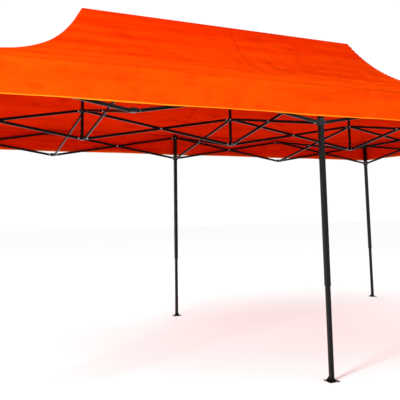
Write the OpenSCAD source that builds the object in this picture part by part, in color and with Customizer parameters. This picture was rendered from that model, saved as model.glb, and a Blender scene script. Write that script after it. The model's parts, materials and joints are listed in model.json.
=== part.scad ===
// Folding shelter: six telescoping legs, scissor trusses on a 4 by 2 grid of bays,
// three centre poles and one hip roof sheet with a hanging edge.
// Origin: on the ground under the middle pole. X runs along the long side, Y from front to back.

/* [Grid] */
// Distance between neighbouring hubs, both ways
bay = 1480; // [1200:10:1600]
// Height of the upper hub pivots above the ground
hub_z = 2116; // [1900:1:2400]
// Height between upper and lower hub pivots when the shelter is up
truss_h = 243; // [150:1:320]

/* [Legs] */
// Width of the square outer tube
outer_w = 34; // [30:1:36]
// Width of the square inner tube
inner_w = 28; // [20:1:28]
// Wall of both leg tubes
tube_wall = 1.5; // [1:0.1:2]
// Height of the outer tube's lower end
outer_z = 664; // [500:1:700]
// Length of the inner tube
inner_len = 1100; // [900:10:1300]
// Side of the square foot plate
foot_w = 85; // [60:1:120]
// Thickness of the foot plate
foot_t = 4; // [3:0.5:6]
// Distance of each peg hole from the leg's centre
peg_x = 31; // [26:1:36]
// Diameter of the peg holes
peg_d = 11; // [8:0.5:14]

/* [Trusses] */
// Height of a truss bar's section
bar_h = 24; // [18:1:26]
// Thickness of a truss bar
bar_t = 12; // [8:0.5:12]
// Wall of a truss bar
bar_wall = 1.5; // [1:0.1:2]
// Distance of the fork pivots from a hub's centre
pivot_x = 40; // [38:1:50]
// Diameter of the pivot pins
pin_d = 6; // [4:0.5:8]

/* [Hubs] */
// Width of a hub block
hub_w = 46; // [42:1:50]
// Height of an upper hub block
hub_h = 30; // [24:1:40]
// Height of the slider on a leg
slider_h = 50; // [36:1:60]
// Thickness of a fork cheek
cheek_t = 3; // [2:0.5:4]

/* [Centre poles] */
// Diameter of a centre pole
pole_d = 28; // [22:1:28]
// Height of the roof's underside at the ridge
peak_z = 3060; // [2800:10:3300]
// Height of the plug in a pole's top
plug_h = 12; // [8:1:20]

/* [Roof] */
// How far the roof reaches past the centre of the outer legs
overhang = 40; // [36:1:60]
// Height of the roof's underside at the edge, above the upper hub pivots
eave_rise = 34; // [30:1:50]
// Length of the hanging edge
valance = 240; // [150:5:300]
// Thickness of the roof sheet
sheet_t = 3; // [2:0.5:4]
// Share of the rise that the slopes gain evenly; the rest comes close to the ridge
roof_even = 0.54; // [0.4:0.02:1]
// Half width of the flat strip along the ridge
ridge_half = 30; // [29:1:40]

/* [Hidden] */
$fn = 32;
roof_power = 6;    // how suddenly the slopes steepen near the ridge
fit = 0.06;        // radial clearance of a running pin
gap = 0.3;         // clearance between pieces that touch
slide = 0.5;       // clearance of a sleeve that slides on a tube
COLS = 4;          // bays along the long side
ROWS = 2;          // bays along the short side
low_z = hub_z - truss_h;
run = bay - 2 * pivot_x;              // level distance between the two pivots of a bar
bar_len = sqrt(run * run + truss_h * truss_h);
bar_tilt = atan2(truss_h, run);
bar_y = bar_t / 2 + gap;              // the two bars of a pair lie side by side
cheek_y = bar_t / 2 + slide;          // inner face of a fork cheek, from the bar's middle
leg_top = hub_z + eave_rise - gap;
half_x = COLS / 2 * bay + overhang;
half_y = ROWS / 2 * bay + overhang;
eave_z = hub_z + eave_rise;
pole_x = (COLS / 2 - 1) * bay;
slope_run = half_y - ridge_half;      // level length of the slopes
foot_gap = foot_t + gap;

ROW_NAMES = ["front", "ridge", "back"];
LEG_NAMES = ["left", "middle", "right"];
SIDE_NAMES = ["front", "back"];
SLOPES = ["falling", "rising"];
LEGS = [for (s = [0, 1]) for (k = [0 : 2]) [k * 2, s * 2, str(SIDE_NAMES[s], "_", LEG_NAMES[k])]];
MIDS = [for (s = [0, 1]) for (k = [0, 1]) [1 + 2 * k, s * 2, str(SIDE_NAMES[s], "_", LEG_NAMES[2 * k])]];
POLES = [for (k = [0 : 2]) [k + 1, 1, LEG_NAMES[k]]];
// Each bar runs from an upper hub to a lower hub: [name, upper column, upper row, lower column, lower row]
LONG_BARS = [for (r = [0 : 2]) for (b = r == 1 ? [1, 2] : [0 : 3]) for (s = [0, 1])
    [str(ROW_NAMES[r], "_bar_", b + 1, "_", SLOPES[s]), b + s, r, b + 1 - s, r]];
CROSS_BARS = [for (b = [0, 1]) for (s = [0, 1])
    [str("cross_bar_", b + 1, "_", SLOPES[s]), 2, b + s, 2, b + 1 - s]];
BARS = concat(LONG_BARS, CROSS_BARS);

function station(i, j) = [(i - COLS / 2) * bay, (j - ROWS / 2) * bay];
// Directions, in degrees, in which a hub at column i and row j has a neighbour
function ways(i, j) = concat(
    i < COLS ? [0] : [], j < ROWS ? [90] : [], i > 0 ? [180] : [], j > 0 ? [270] : []);

// ---- Fork and hub shapes ----

// One cheek of a fork, standing in the XZ plane and reaching to the pivot
module cheek() {
    rotate([90, 0, 0]) linear_extrude(cheek_t) {
        translate([hub_w / 2 - 2, -bar_h / 2 + 2]) square([pivot_x - hub_w / 2 + 2, bar_h - 4]);
        translate([pivot_x, 0]) circle(d = bar_h - 4);
    }
}

// A fork on a hub's +X side, with its pin, for a bar whose middle plane is at y
module fork(y) {
    translate([0, y, 0]) {
        translate([0, -cheek_y, 0]) cheek();
        translate([0, cheek_y + cheek_t, 0]) cheek();
        translate([pivot_x, 0, 0]) rotate([90, 0, 0])
            cylinder(d = pin_d, h = 2 * (cheek_y + cheek_t) + 4, center = true);
    }
}

module forks(i, j, y) {
    for (a = ways(i, j)) rotate([0, 0, a]) fork(y);
}

// Upper hubs carry their forks on one side of the truss plane, lower hubs on the other
module upper_forks(i, j) { translate([0, 0, hub_z]) forks(i, j, -bar_y); }
module lower_forks(i, j) { translate([0, 0, low_z]) forks(i, j, bar_y); }

module block(z, h) {
    translate([-hub_w / 2, -hub_w / 2, z - h / 2]) cube([hub_w, hub_w, h]);
}

// ---- Truss bars ----

// A bar along +X from its upper pivot: a tube, solid at both ends and at the middle
module bar_shape(with_pin) {
    mid = bar_len / 2;
    solid_end = 30;
    void_len = mid - 2 * solid_end;
    difference() {
        rotate([90, 0, 0]) translate([0, 0, -bar_t / 2]) linear_extrude(bar_t) {
            translate([0, -bar_h / 2]) square([bar_len, bar_h]);
            circle(d = bar_h);
            translate([bar_len, 0]) circle(d = bar_h);
        }
        for (x = [solid_end, mid + solid_end])
            translate([x, -bar_t / 2 + bar_wall, -bar_h / 2 + bar_wall])
                cube([void_len, bar_t - 2 * bar_wall, bar_h - 2 * bar_wall]);
        for (x = with_pin ? [0, bar_len] : [0, mid, bar_len]) translate([x, 0, 0])
            rotate([90, 0, 0]) cylinder(d = pin_d + 2 * fit, h = bar_t + 2, center = true);
    }
    if (with_pin) translate([mid, bar_t / 2 - 1, 0]) rotate([-90, 0, 0])
        cylinder(d = pin_d, h = bar_t + 2 * gap + 3);
}

// A bar from the upper hub at (i, j) to the lower hub at (k, l)
module bar(i, j, k, l) {
    from = station(i, j);
    to = station(k, l);
    turn = atan2(to[1] - from[1], to[0] - from[0]);
    carries_pin = k > i || l > j;
    color("#26262a") translate([from[0], from[1], hub_z]) rotate([0, 0, turn])
        translate([pivot_x, -bar_y, 0]) rotate([0, bar_tilt, 0]) bar_shape(carries_pin);
}

module pair(i, j, k, l) {
    bar(i, j, k, l);
    bar(k, l, i, j);
}

// ---- Hubs on the centre poles and between the legs ----

module upper_hub(i, j) {
    at = station(i, j);
    color("#1d1d20") translate([at[0], at[1], 0]) {
        difference() {
            block(hub_z, hub_h);
            translate([0, 0, hub_z - hub_h]) cylinder(d = pole_d + 2 * slide, h = 2 * hub_h);
        }
        upper_forks(i, j);
    }
}

module centre_pole(i, j) {
    at = station(i, j);
    foot_z = low_z - hub_h / 2;
    translate([at[0], at[1], 0]) {
        color("#26262a") difference() {
            translate([0, 0, foot_z + 3]) cylinder(d = pole_d, h = peak_z - gap - plug_h / 2 - foot_z - 3);
            translate([0, 0, foot_z]) cylinder(d = pole_d - 2 * tube_wall, h = peak_z - foot_z);
        }
        color("#1d1d20") {
            difference() {
                block(low_z, hub_h);
                translate([0, 0, foot_z + 3 - gap]) cylinder(d = pole_d + 2 * gap, h = hub_h);
            }
            lower_forks(i, j);
            // top plug, no wider than the pole, so that both slide through the upper hub
            translate([0, 0, peak_z - gap - plug_h / 2 + gap]) cylinder(d = pole_d, h = plug_h / 2 - gap - 2);
            translate([0, 0, peak_z - gap - 2]) cylinder(d1 = pole_d, d2 = pole_d - 4, h = 2);
            translate([0, 0, peak_z - gap - plug_h])
                cylinder(d = pole_d - 2 * tube_wall - 2 * gap, h = plug_h);
        }
    }
}

module side_upper_hub(i, j) {
    at = station(i, j);
    color("#1d1d20") translate([at[0], at[1], 0]) {
        block(hub_z, hub_h);
        upper_forks(i, j);
    }
}

module side_lower_hub(i, j) {
    at = station(i, j);
    color("#1d1d20") translate([at[0], at[1], 0]) {
        block(low_z, hub_h);
        lower_forks(i, j);
    }
}

// ---- Legs ----

module square_tube(w, wall, z, h) {
    translate([-w / 2, -w / 2, z]) difference() {
        cube([w, w, h]);
        translate([wall, wall, -1]) cube([w - 2 * wall, w - 2 * wall, h + 2]);
    }
}

module outer_leg(i, j) {
    at = station(i, j);
    socket = outer_w + 2 * gap;
    bush = inner_w + 2 * gap;
    bush_h = 12;
    bracket_z = hub_z - hub_h / 2 - 4;
    tube_top = leg_top - 6;
    translate([at[0], at[1], 0]) {
        color("#26262a") square_tube(outer_w, tube_wall, outer_z + bush_h, tube_top - outer_z - bush_h);
        color("#1d1d20") {
            difference() {
                translate([-hub_w / 2, -hub_w / 2, bracket_z])
                    cube([hub_w, hub_w, leg_top - bracket_z]);
                translate([-socket / 2, -socket / 2, bracket_z - 1])
                    cube([socket, socket, tube_top + gap - bracket_z + 1]);
            }
            upper_forks(i, j);
            // end bush that guides the inner tube
            difference() {
                translate([-outer_w / 2 - 1, -outer_w / 2 - 1, outer_z])
                    cube([outer_w + 2, outer_w + 2, bush_h - gap]);
                translate([-bush / 2, -bush / 2, outer_z - 1]) cube([bush, bush, bush_h + 2]);
            }
        }
    }
}

module inner_leg(i, j) {
    at = station(i, j);
    plug = inner_w - 2 * tube_wall - 2 * gap;
    button_z = outer_z - 45;
    translate([at[0], at[1], 0]) {
        color("#2c2c30") difference() {
            square_tube(inner_w, tube_wall, foot_gap, inner_len);
            translate([0, 0, button_z]) rotate([90, 0, 0]) cylinder(d = 9, h = inner_w);
        }
        color("#1d1d20") {
            difference() {
                translate([-foot_w / 2, -foot_w / 2, 0]) cube([foot_w, foot_w, foot_t]);
                for (s = [-1, 1]) translate([s * peg_x, 0, -1]) cylinder(d = peg_d, h = foot_t + 2);
            }
            translate([-plug / 2, -plug / 2, foot_t / 2]) cube([plug, plug, 40]);
        }
        // height lock button standing in its hole
        color("silver") translate([0, -inner_w / 2 + 8, button_z]) rotate([90, 0, 0])
            cylinder(d = 9 - 2 * gap, h = 9);
    }
}

module slider(i, j) {
    at = station(i, j);
    bore = outer_w + 2 * slide;
    side = j > ROWS / 2 ? 1 : -1;
    color("#1d1d20") translate([at[0], at[1], 0]) {
        difference() {
            block(low_z, slider_h);
            translate([-bore / 2, -bore / 2, low_z - slider_h]) cube([bore, bore, 2 * slider_h]);
        }
        lower_forks(i, j);
        // housing and pull knob of the slider's lock
        translate([0, side * (hub_w / 2 - 1), low_z]) rotate([-side * 90, 0, 0]) {
            cylinder(d = 16, h = 5);
            cylinder(d = 8, h = 11);
            translate([0, 0, 9]) cylinder(d = 13, h = 3);
        }
    }
}

// ---- End trusses: all the pairs outside the columns that fold bar by bar ----

module end_truss(side) {
    end = side < 0 ? 0 : COLS;
    inner = end - side;
    for (j = [0 : ROWS - 1]) {
        pair(inner, j, inner, j + 1);
        pair(end, j, end, j + 1);
    }
    if (side < 0) pair(end, 1, inner, 1); else pair(inner, 1, end, 1);
    side_upper_hub(end, 1);
    side_lower_hub(end, 1);
}

// ---- Roof ----

end_run = half_x - pole_x - ridge_half;
STEPS = 11;
RIDGE_STEPS = 5;
// Grid lines across a half roof, from the edge to the ridge strip
function slope_lines(half, reach) = [for (k = [0 : STEPS]) -half + reach * (1 - pow(1 - k / STEPS, 1.4))];
function mirrored(v) = concat(v, [for (k = [len(v) - 1 : -1 : 0]) -v[k]]);
GX = let (e = slope_lines(half_x, end_run), m = [for (k = [1 : RIDGE_STEPS]) e[STEPS] * (1 - k / RIDGE_STEPS)])
    concat(e, m, [for (k = [RIDGE_STEPS - 1 : -1 : 1]) -m[k - 1]], [for (k = [STEPS : -1 : 0]) -e[k]]);
GY = mirrored(slope_lines(half_y, slope_run));
NX = len(GX);
NY = len(GY);

// Share of the rise at a share t of the way up a slope
function profile(t) = roof_even * t + (1 - roof_even) * pow(t, roof_power);
function roof_z(x, y) = eave_z + (peak_z - eave_z)
    * profile(min(1, (half_y - abs(y)) / slope_run, (half_x - abs(x)) / end_run));

function grid(dx, dy, dz) = [for (y = GY) for (x = GX)
    [x * (1 - dx / half_x), y * (1 - dy / half_y), roof_z(x, y) + dz]];
// Indices of a grid's edge, in order round the roof
RIM = concat(
    [for (i = [0 : NX - 2]) i], [for (j = [0 : NY - 2]) j * NX + NX - 1],
    [for (i = [NX - 1 : -1 : 1]) (NY - 1) * NX + i], [for (j = [NY - 1 : -1 : 1]) j * NX]);

// Two triangles of a roof cell, split along the hip
function cell(i, j, first, up) =
    let (a = first + j * NX + i, b = a + 1, c = a + NX + 1, d = a + NX,
         along = (GX[i] + GX[i + 1]) * (GY[j] + GY[j + 1]) > 0,
         t = along ? [[a, c, b], [a, d, c]] : [[a, d, b], [b, d, c]])
    up ? t : [for (f = t) [f[0], f[2], f[1]]];

module canopy() {
    top = grid(0, 0, sheet_t);
    under = grid(sheet_t, sheet_t, 0);
    hem_z = eave_z + sheet_t - valance;
    n = len(top);
    m = len(RIM);
    hem_out = [for (k = RIM) [top[k][0], top[k][1], hem_z]];
    hem_in = [for (k = RIM) [under[k][0], under[k][1], hem_z]];
    cells = [for (j = [0 : NY - 2]) for (i = [0 : NX - 2]) [i, j]];
    color("#e8500e") polyhedron(
        points = concat(top, under, hem_out, hem_in),
        faces = concat(
            [for (c = cells) each cell(c[0], c[1], 0, true)],
            [for (c = cells) each cell(c[0], c[1], n, false)],
            [for (k = [0 : m - 1]) let (w = (k + 1) % m) [RIM[k], RIM[w], 2 * n + w, 2 * n + k]],
            [for (k = [0 : m - 1]) let (w = (k + 1) % m)
                [n + RIM[w], n + RIM[k], 2 * n + m + k, 2 * n + m + w]],
            [for (k = [0 : m - 1]) let (w = (k + 1) % m)
                [2 * n + k, 2 * n + w, 2 * n + m + w, 2 * n + m + k]]),
        convexity = 6);
}

canopy();
for (p = POLES) {
    upper_hub(p[0], p[1]);
    centre_pole(p[0], p[1]);
}
for (l = LEGS) {
    outer_leg(l[0], l[1]);
    inner_leg(l[0], l[1]);
    slider(l[0], l[1]);
}
for (m = MIDS) {
    side_upper_hub(m[0], m[1]);
    side_lower_hub(m[0], m[1]);
}
for (b = BARS) bar(b[1], b[2], b[3], b[4]);
end_truss(-1);  // end_truss_left
end_truss(1);  // end_truss_right
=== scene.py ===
"""Looks of a folding shelter: six telescoping legs, scissor trusses and one hip roof of cloth.

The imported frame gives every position. This file adds the roof cloth, the end trusses, the rivets
and the feet's collars, dresses each piece and each frame part, and sets up the studio.
"""

from __future__ import annotations

import json
import logging
import math
from dataclasses import dataclass, field, replace
from enum import Enum

import bpy
import numpy as np
from mathutils import Matrix, Vector

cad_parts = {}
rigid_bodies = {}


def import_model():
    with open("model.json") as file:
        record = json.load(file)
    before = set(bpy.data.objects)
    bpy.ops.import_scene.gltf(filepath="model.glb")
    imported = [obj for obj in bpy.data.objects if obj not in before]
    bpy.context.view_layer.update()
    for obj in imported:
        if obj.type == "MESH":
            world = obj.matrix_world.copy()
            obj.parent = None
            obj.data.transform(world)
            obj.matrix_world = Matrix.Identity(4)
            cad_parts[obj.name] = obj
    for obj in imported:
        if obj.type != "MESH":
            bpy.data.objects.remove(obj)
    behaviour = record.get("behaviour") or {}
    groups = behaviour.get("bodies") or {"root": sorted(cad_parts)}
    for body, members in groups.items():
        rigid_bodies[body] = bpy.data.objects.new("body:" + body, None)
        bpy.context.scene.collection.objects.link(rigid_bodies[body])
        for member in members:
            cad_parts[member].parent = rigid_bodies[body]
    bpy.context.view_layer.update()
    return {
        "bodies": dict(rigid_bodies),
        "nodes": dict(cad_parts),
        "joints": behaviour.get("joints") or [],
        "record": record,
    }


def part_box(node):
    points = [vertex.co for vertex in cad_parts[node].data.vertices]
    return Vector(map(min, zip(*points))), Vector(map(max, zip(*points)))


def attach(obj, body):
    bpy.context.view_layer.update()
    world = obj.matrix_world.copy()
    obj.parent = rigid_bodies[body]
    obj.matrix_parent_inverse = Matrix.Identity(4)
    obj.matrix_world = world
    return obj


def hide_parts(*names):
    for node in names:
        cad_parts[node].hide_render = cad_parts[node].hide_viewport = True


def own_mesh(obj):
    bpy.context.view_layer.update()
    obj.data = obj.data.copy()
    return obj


LOG = logging.getLogger("shelter")
COLUMNS = 4
ROWS = 2


class Slot(Enum):
    """The material slots that the record names."""

    FABRIC = "canopy_fabric"
    TUBE = "black_tube"
    PLASTIC = "black_plastic"


class Slope(Enum):
    """Which way a truss bar runs, seen along rising columns or rows."""

    FALLING = "falling"
    RISING = "rising"


# ---- Shader maths ----


class Signal:
    """One output of a node, with the operators that build Math nodes."""

    def __init__(self, graph: "Graph", socket: bpy.types.NodeSocket) -> None:
        """Wraps a socket.

        Args:
            graph: the graph that the socket belongs to.
            socket: the output that is wrapped.
        """
        self.graph = graph
        self.socket = socket

    def _math(self, operation: str, a: "Signal | float", b: "Signal | float") -> "Signal":
        """Adds one Math node.

        Args:
            operation: the node's operation.
            a: the first value.
            b: the second value.

        Returns:
            The node's result.
        """
        return self.graph.node("ShaderNodeMath", {"operation": operation}, {0: a, 1: b})

    def __add__(self, other: "Signal | float") -> "Signal":
        """Sum."""
        return self._math("ADD", self, other)

    def __radd__(self, other: float) -> "Signal":
        """Sum, reflected."""
        return self._math("ADD", other, self)

    def __sub__(self, other: "Signal | float") -> "Signal":
        """Difference."""
        return self._math("SUBTRACT", self, other)

    def __rsub__(self, other: float) -> "Signal":
        """Difference, reflected."""
        return self._math("SUBTRACT", other, self)

    def __mul__(self, other: "Signal | float") -> "Signal":
        """Product."""
        return self._math("MULTIPLY", self, other)

    def __rmul__(self, other: float) -> "Signal":
        """Product, reflected."""
        return self._math("MULTIPLY", other, self)

    def __truediv__(self, other: "Signal | float") -> "Signal":
        """Quotient."""
        return self._math("DIVIDE", self, other)

    def below(self, other: "Signal | float") -> "Signal":
        """1 where this is less than the other value."""
        return self._math("LESS_THAN", self, other)

    def size(self) -> "Signal":
        """The value without its sign."""
        return self._math("ABSOLUTE", self, 0.0)

    def clamp(self) -> "Signal":
        """The value held between 0 and 1."""
        return self.graph.node("ShaderNodeClamp", {}, {"Value": self})


class Graph:
    """The node tree of one material."""

    def __init__(self, name: str) -> None:
        """Makes an empty material.

        Args:
            name: the material's name.
        """
        self.material = bpy.data.materials.new(name)
        self.material.use_nodes = True
        self.tree = self.material.node_tree
        self.tree.nodes.clear()

    def node(
        self,
        kind: str,
        settings: dict[str, object] | None = None,
        sockets: dict[str | int, object] | None = None,
        output: str | int = 0,
    ) -> Signal:
        """Adds any node.

        Args:
            kind: the node's type.
            settings: its settings, and a ramp's stops under "stops".
            sockets: values or links of its inputs.
            output: the output that is returned.

        Returns:
            The chosen output.
        """
        made = self.tree.nodes.new(kind)
        for key, value in (settings or {}).items():
            if key == "stops":
                self._set_stops(made, value)
            else:
                setattr(made, key, value)
        for key, value in (sockets or {}).items():
            if isinstance(value, Signal):
                self.tree.links.new(value.socket, made.inputs[key])
            else:
                made.inputs[key].default_value = value
        return Signal(self, made.outputs[output])

    @staticmethod
    def _set_stops(made: bpy.types.Node, stops: list[tuple[float, tuple[float, ...]]]) -> None:
        """Sets a ramp's stops.

        Args:
            made: the ramp.
            stops: place and colour of each stop, in order.
        """
        ramp = made.color_ramp
        while len(ramp.elements) < len(stops):
            ramp.elements.new(1.0)
        for element, (place, colour) in zip(ramp.elements, stops):
            element.position = place
            element.color = (*colour, 1.0)

    def position(self) -> Signal:
        """The place on the piece, in the frame's own coordinates."""
        return self.node("ShaderNodeTexCoord", output="Object")

    def axes(self, place: Signal) -> tuple[Signal, Signal, Signal]:
        """A vector's three parts.

        Args:
            place: the vector.

        Returns:
            X, Y and Z.
        """
        x = self.node("ShaderNodeSeparateXYZ", {}, {0: place}, output="X")
        node = x.socket.node
        return x, Signal(self, node.outputs["Y"]), Signal(self, node.outputs["Z"])

    def noise(self, place: Signal, scale: float, detail: float = 3.0) -> Signal:
        """Soft noise from 0 to 1.

        Args:
            place: the coordinates.
            scale: blotches per metre.
            detail: how many finer octaves it has.

        Returns:
            The noise.
        """
        sockets = {"Vector": place, "Scale": scale, "Detail": detail}
        return self.node("ShaderNodeTexNoise", {}, sockets, output=0)

    def threads(self, place: Signal, direction: str, count: float) -> Signal:
        """Parallel threads.

        Args:
            place: the coordinates.
            direction: the axis across the threads.
            count: threads per metre, times a fixed factor.

        Returns:
            A wave from 0 to 1.
        """
        settings = {"wave_type": "BANDS", "bands_direction": direction}
        return self.node("ShaderNodeTexWave", settings, {"Vector": place, "Scale": count}, output=1)

    def stretched(self, place: Signal, scale: tuple[float, float, float]) -> Signal:
        """Coordinates with a scale of their own on each axis.

        Args:
            place: the coordinates.
            scale: the three scales.

        Returns:
            The new coordinates.
        """
        return self.node("ShaderNodeMapping", {}, {"Vector": place, "Scale": scale})

    def mix(self, share: Signal, low: object, high: object) -> Signal:
        """A colour between two.

        Args:
            share: 0 gives low and 1 gives high.
            low: the first colour.
            high: the second colour.

        Returns:
            The mixed colour.
        """
        made = self.tree.nodes.new("ShaderNodeMix")
        made.data_type = "RGBA"
        self.tree.links.new(share.socket, made.inputs["Factor"])
        for socket, value in ((made.inputs[6], low), (made.inputs[7], high)):
            if isinstance(value, Signal):
                self.tree.links.new(value.socket, socket)
            else:
                socket.default_value = (*value, 1.0)
        return Signal(self, made.outputs[2])

    def bump(self, height: Signal, strength: float, distance: float) -> Signal:
        """A normal from a height.

        Args:
            height: the height, about 0 to 1.
            strength: how much of it shows.
            distance: the depth of a height of 1, in metres.

        Returns:
            The normal.
        """
        sockets = {"Strength": strength, "Distance": distance, "Height": height}
        return self.node("ShaderNodeBump", {}, sockets)

    def output(self, shader: Signal) -> bpy.types.Material:
        """Links the surface and returns the material."""
        surface = self.tree.nodes.new("ShaderNodeOutputMaterial")
        self.tree.links.new(shader.socket, surface.inputs["Surface"])
        return self.material


# ---- Finishes ----


@dataclass(frozen=True)
class RoofCloth:
    """Coated polyester in vivid orange red, with seams, a bright hem and painted shade in its folds."""

    half_x: float
    half_y: float
    eave_z: float
    hem_z: float
    slope_x: float
    slope_y: float
    ridge_z: float
    name: str = "roof_cloth"
    deep: tuple[float, float, float] = (0.74, 0.028, 0.0002)
    bright: tuple[float, float, float] = (0.88, 0.072, 0.0010)
    hem: tuple[float, float, float] = (1.0, 0.26, 0.01)
    # the seam colour is also the painted shade in the fold valleys, below
    seam: tuple[float, float, float] = (0.52, 0.016, 0.0006)
    glow: tuple[float, float, float, float] = (0.95, 0.030, 0.0005, 1.0)
    through: float = 0.26
    sheen: float = 0.0
    seam_half: float = 0.012
    hem_width: float = 0.010

    def material(self) -> bpy.types.Material:
        """Builds the cloth.

        Returns:
            The material.
        """
        g = Graph(self.name)
        place = g.position()
        x, y, z = g.axes(place)
        rise = ((z - self.eave_z) / (self.ridge_z - self.eave_z)).clamp()
        blotch = g.noise(place, 1.6, 2.0)
        crumple = g.noise(g.stretched(place, (1.0, 1.6, 2.4)), 5.0, 4.0)
        bands = g.noise(g.stretched(place, (0.55, 3.2, 7.5)), 1.3, 4.0)
        # The colour deepens towards the ridge and in random blotches, and in long bands along the eave that
        # follow the bump's folds: painted shade of the folds.
        share = (rise * 1.1 + (blotch - 0.5) * 0.5 + (bands - 0.5) * 2.2).clamp()
        cloth = g.mix(share, self.bright, self.deep)
        slope_a = (self.half_y - y.size()) / self.slope_y
        slope_b = (self.half_x - x.size()) / self.slope_x
        hip = (slope_a - slope_b).size().below(self.seam_half / self.slope_y)
        on_roof = 1 - z.below(self.eave_z - 0.004)
        middle = x.size().below(self.seam_half * 0.8)
        eave = (z - self.eave_z).size().below(0.006)
        seam = ((hip + middle) * on_roof + eave).clamp()
        cloth = g.mix(seam * 0.35, cloth, self.seam)
        hem = z.below(self.hem_z + self.hem_width)
        cloth = g.mix(hem, cloth, self.hem)
        # Painted shade: the seam colour darkens the valleys of the crumple folds, where the bump lowers the
        # cloth.
        fold_shade = ((0.47 - crumple) * 4.0).clamp()
        cloth = g.mix(fold_shade * 0.55 * (1 - hem), cloth, self.seam)
        fine = g.noise(place, 260.0, 2.0)
        cloth = g.mix((fine - 0.5).clamp() * 0.25, cloth, self.seam)
        warp = g.threads(place, "X", 330.0) + g.threads(place, "Y", 330.0)
        weft = g.threads(place, "Z", 330.0)
        weave = g.bump((warp + weft) * 0.33, 0.10, 0.0003)
        height = crumple * 0.7 + bands + seam * 0.25
        sockets = {"Strength": 0.80, "Distance": 0.035, "Height": height, "Normal": weave}
        normal = g.node("ShaderNodeBump", {}, sockets)
        rough = 0.50 + (blotch - 0.5) * 0.2
        skin = g.node(
            "ShaderNodeBsdfPrincipled",
            {},
            {"Base Color": cloth, "Roughness": rough, "Normal": normal, "Specular IOR Level": self.sheen},
        )
        through = g.node(
            "ShaderNodeBsdfTranslucent", {}, {"Color": self.glow, "Normal": normal}
        )
        both = g.node("ShaderNodeMixShader", {}, {0: self.through, 1: skin, 2: through})
        return g.output(both)


@dataclass(frozen=True)
class CoatedTube:
    """Black powder coat on steel tube, with a fine orange peel and rubbed streaks."""

    name: str = "coated_tube"
    dark: tuple[float, float, float] = (0.0022, 0.0017, 0.0017)
    rubbed: tuple[float, float, float] = (0.018, 0.014, 0.013)

    def material(self) -> bpy.types.Material:
        """Builds the coat.

        Returns:
            The material.
        """
        g = Graph(self.name)
        place = g.position()
        broad = g.noise(place, 5.0, 3.0)
        streaks = g.noise(g.stretched(place, (70.0, 70.0, 3.0)), 1.0, 4.0)
        worn = ((streaks - 0.56) * 4.0).clamp() * broad
        colour = g.mix(worn, self.dark, self.rubbed)
        peel = g.noise(place, 900.0, 1.0)
        rough = 0.27 + broad * 0.12 + worn * 0.20
        sockets = {
            "Base Color": colour,
            "Roughness": rough,
            "Specular IOR Level": 0.16,
            "Normal": g.bump(peel, 0.12, 0.0004),
        }
        return g.output(g.node("ShaderNodeBsdfPrincipled", {}, sockets))


@dataclass(frozen=True)
class MouldedBlack:
    """Black moulded plastic with a spark-eroded grain."""

    name: str = "moulded_black"
    dark: tuple[float, float, float] = (0.010, 0.010, 0.011)
    scuffed: tuple[float, float, float] = (0.038, 0.037, 0.036)

    def material(self) -> bpy.types.Material:
        """Builds the plastic.

        Returns:
            The material.
        """
        g = Graph(self.name)
        place = g.position()
        grain = g.noise(place, 1400.0, 2.0)
        patch = g.noise(place, 22.0, 4.0)
        scuff = ((patch - 0.58) * 3.0).clamp()
        colour = g.mix(scuff, self.dark, self.scuffed)
        sockets = {
            "Base Color": colour,
            "Roughness": 0.42 + patch * 0.18,
            "Specular IOR Level": 0.30,
            "Normal": g.bump(grain, 0.22, 0.0003),
        }
        return g.output(g.node("ShaderNodeBsdfPrincipled", {}, sockets))


@dataclass(frozen=True)
class PlatedSteel:
    """Bright zinc plating on rivets and buttons."""

    name: str = "plated_steel"
    bright: tuple[float, float, float] = (0.78, 0.77, 0.74)
    dull: tuple[float, float, float] = (0.45, 0.44, 0.42)

    def material(self) -> bpy.types.Material:
        """Builds the plating.

        Returns:
            The material.
        """
        g = Graph(self.name)
        place = g.position()
        spangle = g.noise(place, 320.0, 3.0)
        colour = g.mix(spangle, self.dull, self.bright)
        sockets = {
            "Base Color": colour,
            "Metallic": 1.0,
            "Roughness": 0.22 + spangle * 0.14,
            "Normal": g.bump(spangle, 0.08, 0.0003),
        }
        return g.output(g.node("ShaderNodeBsdfPrincipled", {}, sockets))


@dataclass(frozen=True)
class StudioFloor:
    """A plain pale floor."""

    name: str = "studio_floor"
    pale: tuple[float, float, float] = (0.93, 0.93, 0.93)
    paler: tuple[float, float, float] = (0.95, 0.95, 0.95)

    def material(self) -> bpy.types.Material:
        """Builds the floor's finish.

        Returns:
            The material.
        """
        g = Graph(self.name)
        soft = g.noise(g.position(), 0.8, 2.0)
        sockets = {"Base Color": g.mix(soft, self.pale, self.paler), "Roughness": 0.9}
        return g.output(g.node("ShaderNodeBsdfPrincipled", {}, sockets))


# ---- Modelling by operators ----


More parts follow.
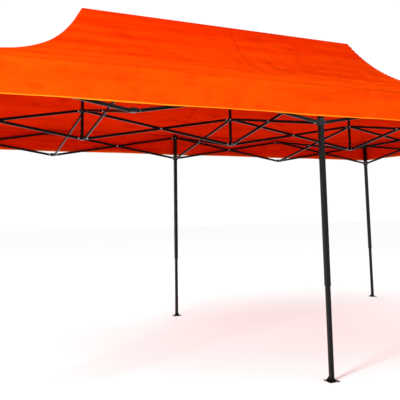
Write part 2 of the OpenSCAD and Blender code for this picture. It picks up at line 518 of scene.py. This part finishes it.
class Bench:
    """The modelling operators that the sub-assemblies share."""

    @staticmethod
    def clear() -> None:
        """Deselects everything."""
        bpy.ops.object.select_all(action="DESELECT")

    @classmethod
    def take(cls, obj: bpy.types.Object) -> None:
        """Selects one object and makes it the active one."""
        cls.clear()
        obj.select_set(True)
        bpy.context.view_layer.objects.active = obj

    @classmethod
    def settle(cls, obj: bpy.types.Object) -> None:
        """Puts an object's place into its mesh."""
        cls.take(obj)
        bpy.ops.object.transform_apply(location=True, rotation=True, scale=True)

    @classmethod
    def apply_all(cls, obj: bpy.types.Object) -> None:
        """Applies every modifier of an object."""
        cls.take(obj)
        for modifier in list(obj.modifiers):
            bpy.ops.object.modifier_apply(modifier=modifier.name)

    @classmethod
    def clone(
        cls, obj: bpy.types.Object, name: str, turn: Matrix | None = None
    ) -> bpy.types.Object:
        """Copies an object with a mesh of its own.

        Args:
            obj: what is copied.
            name: the copy's name.
            turn: where the copy's mesh is moved to.

        Returns:
            The copy.
        """
        made = bpy.data.objects.new(name, obj.data.copy())
        bpy.context.scene.collection.objects.link(made)
        if turn is not None:
            made.data.transform(turn)
        return made

    @classmethod
    def join(cls, parts: list[bpy.types.Object], name: str) -> bpy.types.Object:
        """Joins parts into one object.

        Args:
            parts: the parts, of which the first stays.
            name: the name of the whole.

        Returns:
            The whole.
        """
        cls.clear()
        for part in parts:
            part.select_set(True)
        bpy.context.view_layer.objects.active = parts[0]
        bpy.ops.object.join()
        parts[0].name = name
        return parts[0]

    @classmethod
    def smooth(cls, obj: bpy.types.Object, degrees: float = 35.0) -> None:
        """Shades smooth up to an angle."""
        cls.take(obj)
        bpy.ops.object.shade_smooth_by_angle(angle=math.radians(degrees))

    @staticmethod
    def dress(obj: bpy.types.Object, material: bpy.types.Material) -> None:
        """Gives an object one material."""
        obj.data.materials.clear()
        obj.data.materials.append(material)
        for polygon in obj.data.polygons:
            polygon.material_index = 0


# ---- Sizes ----


@dataclass
class Layout:
    """The places that the frame's parts give."""

    bay: float = 0.0
    hub_z: float = 0.0
    low_z: float = 0.0
    half_x: float = 0.0
    half_y: float = 0.0
    hem_z: float = 0.0
    eave_z: float = 0.0
    ridge_z: float = 0.0
    pole_x: float = 0.0
    ridge_half: float = 0.030
    pivot_x: float = 0.040
    bar_side: float = 0.0063
    bar_length: float = 0.0
    bar_tilt: float = 0.0
    eave_over_hubs: float = 0.034
    sheet: float = 0.003

    @classmethod
    def read(cls) -> "Layout":
        """Measures the frame.

        Returns:
            The layout.
        """
        made = cls()
        left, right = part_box("outer_leg_front_left"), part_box("outer_leg_front_right")
        made.bay = ((right[0].x + right[1].x) - (left[0].x + left[1].x)) / 2 / COLUMNS
        upper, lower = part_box("side_upper_hub_front_left"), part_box("side_lower_hub_front_left")
        made.hub_z = (upper[0].z + upper[1].z) / 2
        made.low_z = (lower[0].z + lower[1].z) / 2
        low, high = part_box("canopy")
        made.half_x, made.half_y = high.x, high.y
        made.hem_z, made.ridge_z = low.z, high.z
        made.eave_z = made.hub_z + made.eave_over_hubs + made.sheet
        made.pole_x = made.bay * (COLUMNS / 2 - 1)
        run = made.bay - 2 * made.pivot_x
        drop = made.hub_z - made.low_z
        made.bar_length = math.hypot(run, drop)
        made.bar_tilt = math.atan2(drop, run)
        return made

    def station(self, column: float, row: float) -> Vector:
        """The middle of a hub's column on the ground.

        Args:
            column: 0 at the left to 4 at the right.
            row: 0 at the front to 2 at the back.

        Returns:
            The place.
        """
        return Vector(((column - COLUMNS / 2) * self.bay, (row - ROWS / 2) * self.bay, 0.0))


# ---- Roof ----


@dataclass
class Roof:
    """The roof cloth: four slopes, a hanging edge and its hem."""

    layout: Layout
    across: int = 240
    deep: int = 128
    drop_rows: int = 9
    thickness: float = 0.0010
    share_flat: float = 0.54
    steep_power: float = 6.0
    hem_depth: float = 0.020

    def share(self, t: np.ndarray) -> np.ndarray:
        """The share of the rise at a share t of the way up a slope."""
        return self.share_flat * t + (1 - self.share_flat) * t**self.steep_power

    def slopes(self, x: np.ndarray, y: np.ndarray) -> tuple[np.ndarray, np.ndarray]:
        """How far up the long slopes and the end slopes a place is.

        Args:
            x: places along the roof.
            y: places across it.

        Returns:
            The two shares.
        """
        lay = self.layout
        long_way = (lay.half_y - np.abs(y)) / (lay.half_y - lay.ridge_half)
        end_way = (lay.half_x - np.abs(x)) / (lay.half_x - lay.pole_x - lay.ridge_half)
        return long_way, end_way

    def height(self, x: np.ndarray, y: np.ndarray) -> np.ndarray:
        """The cloth's height over the ground, folds included.

        Args:
            x: places along the roof.
            y: places across it.

        Returns:
            The heights.
        """
        lay = self.layout
        long_way, end_way = self.slopes(x, y)
        t = np.clip(np.minimum(np.minimum(long_way, end_way), 1.0), 0.0, 1.0)
        z = lay.eave_z + (lay.ridge_z - lay.eave_z) * self.share(t)
        free = np.sin(np.pi * np.clip(t, 0, 1)) ** 0.8  # no folds at the eave or the ridge
        on_long = np.clip((end_way - long_way) * 3.0, 0.0, 1.0)
        on_end = np.clip((long_way - end_way) * 3.0, 0.0, 1.0)
        # broad folds that run along the eave, and tension folds that run down from each pole
        along = np.sin(t * 21.0 + 1.1 * np.sin(x * 1.7) + 0.4 * np.sin(x * 4.3 + 1.0))
        z = z - 0.0110 * free * on_long * along * np.exp(-(((t - 0.30) / 0.26) ** 2))
        for pole in (-lay.pole_x, 0.0, lay.pole_x):
            reach = np.hypot(x - pole, y) + 1e-6
            turn = np.arctan2(np.abs(y), x - pole)
            fan = np.sin(turn * 15.0 + 0.7 * np.sin(reach * 5.0)) * np.exp(-((reach - 0.45) ** 2) / 0.09)
            z = z - 0.0065 * free * (fan + 0.6) * np.exp(-((reach - 0.45) ** 2) / 0.14)
        ends = np.sin(np.abs(y) * 9.0 + 2.0 * np.sin(t * 4.0)) * np.exp(-(((t - 0.35) / 0.3) ** 2))
        z = z - 0.0060 * free * on_end * ends
        return z

    def _grid(self) -> bpy.types.Object:
        """The roof's four slopes, as a grid that is bent to shape.

        Returns:
            The grid.
        """
        Bench.clear()
        bpy.ops.mesh.primitive_grid_add(
            x_subdivisions=self.across, y_subdivisions=self.deep, size=2.0, location=(0, 0, 0)
        )
        cloth = bpy.context.active_object
        flat = np.zeros(len(cloth.data.vertices) * 3, np.float32)
        cloth.data.vertices.foreach_get("co", flat)
        place = flat.reshape(-1, 3).astype(float)
        lay = self.layout
        place[:, 0] *= lay.half_x
        place[:, 1] *= lay.half_y
        place[:, 2] = self.height(place[:, 0], place[:, 1])
        cloth.data.vertices.foreach_set("co", place.astype(np.float32).ravel())
        cloth.data.update()
        return cloth

    def _drop_edge(self, cloth: bpy.types.Object) -> None:
        """Extrudes the hanging edge from the grid's rim."""
        lay = self.layout
        step = (lay.eave_z - lay.hem_z) / self.drop_rows
        Bench.take(cloth)
        bpy.ops.object.mode_set(mode="EDIT")
        bpy.ops.mesh.select_mode(type="EDGE")
        bpy.ops.mesh.select_all(action="DESELECT")
        bpy.ops.mesh.select_non_manifold(
            extend=False, use_wire=False, use_boundary=True,
            use_multi_face=False, use_non_contiguous=False, use_verts=False,
        )
        for _ in range(self.drop_rows):
            bpy.ops.mesh.extrude_region_move(TRANSFORM_OT_translate={"value": (0.0, 0.0, -step)})
        bpy.ops.object.mode_set(mode="OBJECT")

    def _billow(self, cloth: bpy.types.Object) -> None:
        """Gives the hanging edge its slack waves, least at the legs and the eave."""
        lay = self.layout
        flat = np.zeros(len(cloth.data.vertices) * 3, np.float32)
        cloth.data.vertices.foreach_get("co", flat)
        place = flat.reshape(-1, 3).astype(float)
        x, y, z = place.T
        down = np.clip((lay.eave_z - z) / (lay.eave_z - lay.hem_z), 0.0, 1.0)
        edge = (lay.half_x - np.abs(x) < 1e-4) | (lay.half_y - np.abs(y) < 1e-4)
        hangs = edge & (down > 1e-3)
        on_side = lay.half_y - np.abs(y) < 1e-4
        corner = np.minimum(1.0, ((lay.half_x - np.abs(x)) + (lay.half_y - np.abs(y))) / 0.30)
        along = np.where(on_side, x, y + 0.7)
        sign = np.where(on_side, np.sign(y), np.sign(x))
        wave = 0.55 * np.sin(along * 5.3 + 1.3 * sign) + 0.30 * np.sin(along * 12.1 + 0.6)
        wave = wave + 0.15 * np.sin(along * 23.0 + 2.2 * down)
        push = sign * (0.014 * wave - 0.004) * down**1.4 * corner
        y = np.where(hangs & on_side, y + push, y)
        x = np.where(hangs & ~on_side, x + push, x)
        z = np.where(hangs, z + 0.004 * down * corner * np.abs(np.sin(along * 2.1)), z)
        moved = np.stack([x, y, z], 1).astype(np.float32)
        cloth.data.vertices.foreach_set("co", moved.ravel())
        cloth.data.update()

    def _hem(self, cloth: bpy.types.Object) -> bpy.types.Object:
        """The folded hem: the lowest band of the cloth, doubled inwards.

        Args:
            cloth: the finished cloth, still one layer thick.

        Returns:
            The hem, as a piece of its own.
        """
        lay = self.layout
        hem = Bench.clone(cloth, "roof_hem")
        Bench.take(hem)
        bpy.ops.object.mode_set(mode="EDIT")
        bpy.ops.mesh.select_mode(type="FACE")
        bpy.ops.mesh.select_all(action="DESELECT")
        bpy.ops.object.mode_set(mode="OBJECT")
        limit = lay.hem_z + self.hem_depth * 1.4
        for polygon in hem.data.polygons:
            polygon.select = polygon.center.z > limit
        bpy.ops.object.mode_set(mode="EDIT")
        bpy.ops.mesh.delete(type="FACE")
        bpy.ops.object.mode_set(mode="OBJECT")
        band = hem.modifiers.new("band", "SOLIDIFY")
        band.thickness = 0.0030
        band.offset = 0.0
        Bench.apply_all(hem)
        return hem

    def build(
        self, material: bpy.types.Material, inner: bpy.types.Material
    ) -> list[bpy.types.Object]:
        """Makes the roof and hangs it on the frame.

        Args:
            material: the cloth's outer side.
            inner: its coated inner side, in a darker copy of the cloth: painted shade under the roof.

        Returns:
            The roof's pieces.
        """
        lay = self.layout
        cloth = self._grid()
        cloth.name = "roof_cloth"
        self._drop_edge(cloth)
        self._billow(cloth)
        hem = self._hem(cloth)
        Bench.dress(cloth, material)
        Bench.dress(hem, material)
        # The inner faces get the darker copy of the cloth: painted shade under the roof.
        cloth.data.materials.append(inner)
        body = cloth.modifiers.new("body", "SOLIDIFY")
        body.thickness = self.thickness
        body.offset = -1.0
        body.material_offset = 1
        Bench.apply_all(cloth)
        for piece in (cloth, hem):
            Bench.smooth(piece, 85.0)
            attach(piece, "upper_hub_middle")
            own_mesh(piece)
        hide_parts("canopy")
        rise = (lay.ridge_z - lay.eave_z)
        slope = math.hypot(lay.half_y, rise)
        end = math.hypot(lay.half_x - lay.pole_x, rise)
        skirt = lay.eave_z - lay.hem_z
        long_slopes = slope * (lay.half_x * 2 + lay.pole_x * 2)
        end_slopes = end * lay.half_y * 2
        edges = skirt * 4 * (lay.half_x + lay.half_y)
        width = 2 * (slope + skirt)
        length = 2 * (lay.pole_x + end + skirt)
        long_slopes + end_slopes + edges
        return [cloth, hem]


# ---- End trusses ----


@dataclass
class EndTrusses:
    """The scissor pairs and hubs outside the columns that the frame folds bar by bar."""

    layout: Layout
    nodes: dict[str, bpy.types.Object]
    tube: bpy.types.Material
    made: list[bpy.types.Object] = field(default_factory=list)

    def _pattern(self, node: str, name: str) -> bpy.types.Object:
        """A frame part's shape, welded and with its edges broken.

        Args:
            node: the frame part.
            name: the pattern's name.

        Returns:
            The pattern.
        """
        pattern = Bench.clone(self.nodes[node], name)
        pattern.modifiers.new("weld", "WELD").merge_threshold = 0.00002
        edge = pattern.modifiers.new("edge", "BEVEL")
        edge.width = 0.0009
        edge.segments = 2
        edge.limit_method = "ANGLE"
        edge.angle_limit = math.radians(40)
        Bench.apply_all(pattern)
        Bench.smooth(pattern)
        return pattern

    def _place_bar(
        self, pattern: bpy.types.Object, name: str, start: Vector, turn: float, was: Vector, was_turn: float
    ) -> bpy.types.Object:
        """Copies a bar to another bay.

        Args:
            pattern: the bar that is copied.
            name: the new bar's name.
            start: the station of the new bar's upper hub.
            turn: the new bar's direction.
            was: the station of the pattern's upper hub.
            was_turn: the pattern's direction.

        Returns:
            The new bar.
        """
        move = (
            Matrix.Translation(start)
            @ Matrix.Rotation(turn - was_turn, 4, "Z")
            @ Matrix.Translation(-was)
        )
        bar = Bench.clone(pattern, name, move)
        Bench.dress(bar, self.tube)
        self.made.append(bar)
        return bar

    def build(self) -> list[bpy.types.Object]:
        """Makes every bar and hub of both ends.

        Returns:
            The pieces.
        """
        lay = self.layout
        patterns = {
            Slope.FALLING: (self._pattern("front_bar_1_falling", "pattern_a"), lay.station(0, 0), 0.0),
            Slope.RISING: (self._pattern("front_bar_1_rising", "pattern_b"), lay.station(1, 0), math.pi),
        }
        for column in (0, 1, 3, 4):
            for bay in range(ROWS):
                for slope, (pattern, was, was_turn) in patterns.items():
                    falls = slope is Slope.FALLING
                    start = lay.station(column, bay if falls else bay + 1)
                    turn = math.pi / 2 if falls else -math.pi / 2
                    name = f"end_bar_{column}_{bay + 1}_{slope.value}"
                    bar = self._place_bar(pattern, name, start, turn, was, was_turn)
                    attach(bar, f"cross_bar_{bay + 1}_{slope.value}")
                    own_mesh(bar)
        for bay in (1, 4):
            for slope, (pattern, was, was_turn) in patterns.items():
                falls = slope is Slope.FALLING
                start = lay.station(bay - 1 if falls else bay, 1)
                turn = 0.0 if falls else math.pi
                bar = self._place_bar(
                    pattern, f"ridge_bar_{bay}_{slope.value}", start, turn, was, was_turn
                )
                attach(bar, f"front_bar_{bay}_{slope.value}")
                tuple(lay.station(0, 0))
                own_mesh(bar)
        self._hubs()
        for pattern, _, _ in patterns.values():
            bpy.data.objects.remove(pattern)
        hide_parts("end_truss_left", "end_truss_right")
        return self.made

    def _hubs(self) -> None:
        """The two hubs in the middle of each end."""
        lay = self.layout
        for level, rides in (("upper", "outer_leg"), ("lower", "slider")):
            pattern = self._pattern(f"side_{level}_hub_front_left", "pattern_hub")
            was = lay.station(1, 0)
            for column, side, turn in ((0, "left", -math.pi / 2), (4, "right", math.pi / 2)):
                move = (
                    Matrix.Translation(lay.station(column, 1))
                    @ Matrix.Rotation(turn, 4, "Z")
                    @ Matrix.Translation(-was)
                )
                hub = Bench.clone(pattern, f"end_{level}_hub_{side}", move)
                Bench.dress(hub, self.tube)
                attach(hub, f"{rides}_front_{side}")
                tuple(lay.station(0, 0))
                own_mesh(hub)
                self.made.append(hub)
            bpy.data.objects.remove(pattern)


# ---- Rivets ----


@dataclass(frozen=True)
class BarPlace:
    """Where one truss bar is, and what it moves with."""

    name: str
    start: Vector  # the station of the bar's upper hub
    turn: float
    body: str
    axis: tuple[int, int, int] | None = None  # an axis set for bars that ride on another bar's body; the rivets' code reads it but flattens nothing


@dataclass
class Rivets:
    """Domed rivet heads and washers on both sides of every pivot of a bar."""

    layout: Layout
    steel: bpy.types.Material
    head: float = 0.0058
    washer: float = 0.0072
    fork_side: float = 0.0117
    bar_half: float = 0.006

    def _head(self) -> bpy.types.Object:
        """One domed head on its washer, standing on the XY plane.

        Returns:
            The head.
        """
        Bench.clear()
        bpy.ops.mesh.primitive_cylinder_add(
            vertices=20, radius=self.washer, depth=0.0012, location=(0, 0, 0.0006)
        )
        washer = bpy.context.active_object
        Bench.settle(washer)
        rim = washer.modifiers.new("rim", "BEVEL")
        rim.width, rim.segments = 0.0004, 2
        rim.limit_method = "ANGLE"
        Bench.apply_all(washer)
        Bench.clear()
        bpy.ops.mesh.primitive_uv_sphere_add(
            segments=20, ring_count=12, radius=self.head, location=(0, 0, 0.0008)
        )
        dome = bpy.context.active_object
        bpy.ops.object.mode_set(mode="EDIT")
        bpy.ops.mesh.select_all(action="SELECT")
        bpy.ops.transform.resize(value=(1.0, 1.0, 0.62), center_override=(0, 0, 0.0008))
        bpy.ops.mesh.select_all(action="SELECT")
        bpy.ops.mesh.bisect(plane_co=(0, 0, 0.0008), plane_no=(0, 0, 1), use_fill=True, clear_inner=True)
        bpy.ops.object.mode_set(mode="OBJECT")
        Bench.settle(dome)
        whole = Bench.join([washer, dome], "rivet_head")
        Bench.smooth(whole, 50)
        return whole

    def build(self, bars: list[BarPlace]) -> list[bpy.types.Object]:
        """Sets the rivets of each bar.

        Args:
            bars: the places of the bars.

        Returns:
            The rivet sets.
        """
        lay = self.layout
        pattern = self._head()
        outer = self.fork_side
        made = []
        for bar in bars:
            frame = (
                Matrix.Translation(bar.start + Vector((0, 0, lay.hub_z)))
                @ Matrix.Rotation(bar.turn, 4, "Z")
                @ Matrix.Translation((lay.pivot_x, -lay.bar_side, 0))
                @ Matrix.Rotation(lay.bar_tilt, 4, "Y")
            )
            spots = [
                (0.0, -outer, -1),
                (0.0, outer, 1),
                (lay.bar_length, -outer, -1),
                (lay.bar_length, outer, 1),
                (lay.bar_length / 2, -self.bar_half, -1),
            ]
            heads = []
            for along, side, way in spots:
                face = Matrix.Translation((along, side, 0)) @ Matrix.Rotation(-way * math.pi / 2, 4, "X")
                heads.append(Bench.clone(pattern, "head", frame @ face))
            rivets = Bench.join(heads, f"{bar.name}_rivets")
            Bench.dress(rivets, self.steel)
            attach(rivets, bar.body)
            if bar.axis is not None:
                anchor = tuple(lay.station(0, 0)) if bar.axis[1] else (0, 0, 0)
                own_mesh(rivets)
            made.append(rivets)
        bpy.data.objects.remove(pattern)
        return made


# ---- Feet ----


@dataclass
class Feet:
    """A welded collar and four gussets where each inner tube meets its foot plate."""

    layout: Layout
    tube: bpy.types.Material
    collar: float = 0.0345
    height: float = 0.022
    wall: float = 0.0028

    def _collar(self) -> bpy.types.Object:
        """One collar with its gussets, over the origin.

        Returns:
            The collar.
        """
        Bench.clear()
        bpy.ops.mesh.primitive_cube_add(size=1.0, location=(0, 0, self.height / 2))
        body = bpy.context.active_object
        bpy.ops.object.mode_set(mode="EDIT")
        bpy.ops.transform.resize(
            value=(self.collar, self.collar, self.height), center_override=(0, 0, self.height / 2)
        )
        bpy.ops.object.mode_set(mode="OBJECT")
        Bench.settle(body)
        for polygon in body.data.polygons:
            polygon.select = abs(polygon.normal.z) > 0.9
        bpy.ops.object.mode_set(mode="EDIT")
        bpy.ops.mesh.select_mode(type="FACE")
        bpy.ops.mesh.inset(thickness=self.wall, depth=0.0)
        bpy.ops.mesh.bridge_edge_loops()
        bpy.ops.object.mode_set(mode="OBJECT")
        edge = body.modifiers.new("edge", "BEVEL")
        edge.width, edge.segments = 0.0010, 2
        edge.limit_method = "ANGLE"
        Bench.apply_all(body)
        parts = [body]
        for quarter in range(4):
            Bench.clear()
            bpy.ops.mesh.primitive_cube_add(size=1.0, location=(0, 0, 0))
            rib = bpy.context.active_object
            bpy.ops.object.mode_set(mode="EDIT")
            bpy.ops.transform.resize(value=(0.018, 0.003, 0.018), center_override=(0, 0, 0))
            bpy.ops.transform.translate(value=(self.collar / 2 + 0.0085, 0, 0.009))
            bpy.ops.mesh.select_all(action="SELECT")
            bpy.ops.mesh.bisect(
                plane_co=(self.collar / 2 + 0.006, 0, 0.015),
                plane_no=(1, 0, 1),
                use_fill=True,
                clear_outer=True,
            )
            bpy.ops.object.mode_set(mode="OBJECT")
            rib.data.transform(Matrix.Rotation(quarter * math.pi / 2 + math.pi / 4, 4, "Z"))
            edge = rib.modifiers.new("edge", "BEVEL")
            edge.width, edge.segments = 0.0006, 2
            Bench.apply_all(rib)
            parts.append(rib)
        return Bench.join(parts, "collar")

    def build(self) -> list[bpy.types.Object]:
        """Sets a collar on every foot.

        Returns:
            The collars.
        """
        pattern = self._collar()
        made = []
        for row, depth in ((0, "front"), (2, "back")):
            for column, side in ((0, "left"), (2, "middle"), (4, "right")):
                leg = f"inner_leg_{depth}_{side}"
                low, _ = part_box(leg)
                place = self.layout.station(column, row)
                place.z = low.z + 0.0040
                collar = Bench.clone(pattern, f"foot_collar_{depth}_{side}", Matrix.Translation(place))
                Bench.smooth(collar, 30)
                Bench.dress(collar, self.tube)
                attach(collar, leg)
                made.append(collar)
        bpy.data.objects.remove(pattern)
        return made


# ---- Frame parts ----


@dataclass
class FrameParts:
    """The frame's own parts, which keep their shape and get their finish."""

    nodes: dict[str, bpy.types.Object]
    tube: bpy.types.Material
    plastic: bpy.types.Material
    steel: bpy.types.Material

    def dress(self) -> None:
        """Gives each frame part its finish and soft edges."""
        for name, obj in sorted(self.nodes.items()):
            if obj.hide_render:
                continue
            self._finish(name, obj)
            obj.modifiers.new("weld", "WELD").merge_threshold = 0.00002
            edge = obj.modifiers.new("edge", "BEVEL")
            edge.width = 0.0008
            edge.segments = 2
            edge.limit_method = "ANGLE"
            edge.angle_limit = math.radians(40)
            obj.modifiers.new("shade", "WEIGHTED_NORMAL").keep_sharp = False
            for polygon in obj.data.polygons:
                polygon.use_smooth = True

    def _finish(self, name: str, obj: bpy.types.Object) -> None:
        """Puts the right finish in each of a part's material slots.

        Args:
            name: the part's name.
            obj: the part.
        """
        for slot in obj.material_slots:
            was = slot.material
            colour = tuple(was.diffuse_color[:3]) if was else (0, 0, 0)
            if was and was.use_nodes:
                for node in was.node_tree.nodes:
                    if node.type == "BSDF_PRINCIPLED":
                        colour = tuple(node.inputs["Base Color"].default_value[:3])
            if max(colour) > 0.3:
                slot.material = self.steel
            elif name.startswith(("upper_hub", "slider")) or (was and "plastic" in was.name):
                slot.material = self.plastic
            else:
                slot.material = self.tube
        if not obj.material_slots:
            Bench.dress(obj, self.plastic if name.startswith(("upper_hub", "slider")) else self.tube)


# ---- Studio ----


@dataclass
class Studio:
    """Camera, floor and soft light."""

    eye: tuple[float, float, float] = (-2.582, -4.953, 1.212)
    yaw: float = 24.859
    pitch: float = 7.553
    roll: float = -0.906
    lens: float = 50.9
    sensor: float = 36.0
    shift: tuple[float, float] = (-0.011, -0.158)
    floor_half: float = 40.0

    def camera(self) -> None:
        """Puts the camera at its place."""
        yaw, pitch, roll = (math.radians(v) for v in (self.yaw, self.pitch, self.roll))
        ahead = Vector((math.sin(yaw) * math.cos(pitch), math.cos(yaw) * math.cos(pitch), math.sin(pitch)))
        right = Vector((math.cos(yaw), -math.sin(yaw), 0.0))
        up = right.cross(ahead)
        right_rolled = math.cos(roll) * right + math.sin(roll) * up
        up_rolled = math.cos(roll) * up - math.sin(roll) * right
        data = bpy.data.cameras.new("studio_camera")
        data.sensor_width = self.sensor
        data.lens = self.lens
        data.shift_x, data.shift_y = self.shift
        data.clip_start, data.clip_end = 0.05, 200.0
        camera = bpy.data.objects.new("studio_camera", data)
        bpy.context.scene.collection.objects.link(camera)
        axes = Matrix((right_rolled, up_rolled, -ahead)).transposed().to_4x4()
        camera.matrix_world = Matrix.Translation(self.eye) @ axes
        bpy.context.scene.camera = camera

    def floor(self) -> None:
        """Lays the floor."""
        Bench.clear()
        bpy.ops.mesh.primitive_plane_add(size=self.floor_half * 2, location=(0, 0, -0.0005))
        floor = bpy.context.active_object
        floor.name = "studio_floor"
        Bench.settle(floor)
        Bench.dress(floor, StudioFloor().material())

    def _lamp(self, name: str, place: tuple[float, float, float], size: float, watts: float) -> None:
        """Hangs one square soft light that faces the shelter.

        Args:
            name: the lamp's name.
            place: where it hangs.
            size: its side.
            watts: its power.
        """
        data = bpy.data.lights.new(name, "AREA")
        data.shape = "SQUARE"
        data.size = size
        data.energy = watts
        lamp = bpy.data.objects.new(name, data)
        bpy.context.scene.collection.objects.link(lamp)
        aim = Vector((0.0, 0.0, 1.4)) - Vector(place)
        turn = aim.to_track_quat("-Z", "Y").to_matrix().to_4x4()
        lamp.matrix_world = Matrix.Translation(place) @ turn

    def light(self) -> None:
        """Sets the lamps and the surrounding white."""
        self._lamp("key", (-8.0, -5.0, 4.5), 1.6, 900.0)
        self._lamp("fill", (7.0, -7.0, 5.0), 6.0, 60.0)
        self._lamp("back", (3.0, 8.0, 7.0), 4.0, 160.0)
        world = bpy.data.worlds.new("studio_white")
        world.use_nodes = True
        sky = next(n for n in world.node_tree.nodes if n.type == "BACKGROUND")
        sky.inputs["Color"].default_value = (1.0, 1.0, 1.0, 1.0)
        sky.inputs["Strength"].default_value = 1.02
        bpy.context.scene.world = world
        bpy.context.scene.view_settings.view_transform = "Standard"

    def build(self) -> None:
        """Sets up the whole studio."""
        self.camera()
        self.floor()
        self.light()


def bar_list(layout: Layout) -> list[BarPlace]:
    """Every truss bar, for its rivets.

    Args:
        layout: the frame's places.

    Returns:
        The place of each bar.
    """
    bars = []
    for row, name in ((0, "front"), (1, "ridge"), (2, "back")):
        for bay in range(1, COLUMNS + 1):
            for slope in Slope:
                falls = slope is Slope.FALLING
                start = layout.station(bay - 1 if falls else bay, row)
                own = row != 1 or bay in (2, 3)
                body = f"{name if own else 'front'}_bar_{bay}_{slope.value}"
                axis = None if own else (0, 1, 0)
                turn = 0.0 if falls else math.pi
                bars.append(BarPlace(f"{name}_bar_{bay}_{slope.value}", start, turn, body, axis))
    for column in range(COLUMNS + 1):
        for bay in range(1, ROWS + 1):
            for slope in Slope:
                falls = slope is Slope.FALLING
                start = layout.station(column, bay - 1 if falls else bay)
                own = column == COLUMNS // 2
                body = f"cross_bar_{bay}_{slope.value}"
                name = body if own else f"end_bar_{column}_{bay}_{slope.value}"
                turn = math.pi / 2 if falls else -math.pi / 2
                axis = None if own else (1, 0, 0)
                bars.append(BarPlace(name, start, turn, body, axis))
    return bars


def report(pieces: list[bpy.types.Object], what: str) -> None:
    """Logs what was built.

    Args:
        pieces: the pieces.
        what: the name of the sub-assembly.
    """
    for piece in pieces:
        LOG.info("%s: %s, %d faces", what, piece.name, len(piece.data.polygons))


def main() -> None:
    """Builds the shelter's looks around its frame."""
    logging.basicConfig(level=logging.INFO, format="%(message)s")
    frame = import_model()
    Studio().build()
    layout = Layout.read()
    outside = RoofCloth(
        half_x=layout.half_x,
        half_y=layout.half_y,
        eave_z=layout.eave_z,
        hem_z=layout.hem_z,
        slope_x=layout.half_x - layout.pole_x - layout.ridge_half,
        slope_y=layout.half_y - layout.ridge_half,
        ridge_z=layout.ridge_z,
    )
    # The inner side is a darker copy of the cloth, seams included: painted shade under the roof.
    shaded_inside = replace(
        outside,
        name="roof_cloth_shaded_inside",
        deep=(0.48, 0.0120, 0.0002),
        bright=(0.66, 0.0230, 0.0004),
        seam=(0.26, 0.0050, 0.0004),
    )
    tube = CoatedTube().material()
    plastic = MouldedBlack().material()
    steel = PlatedSteel().material()
    report(Roof(layout).build(outside.material(), shaded_inside.material()), "roof")
    report(EndTrusses(layout, frame["nodes"], tube).build(), "end trusses")
    report(Rivets(layout, steel).build(bar_list(layout)), "rivets")
    report(Feet(layout, tube).build(), "feet")
    FrameParts(frame["nodes"], tube, plastic, steel).dress()


if __name__ == "__main__":
    main()
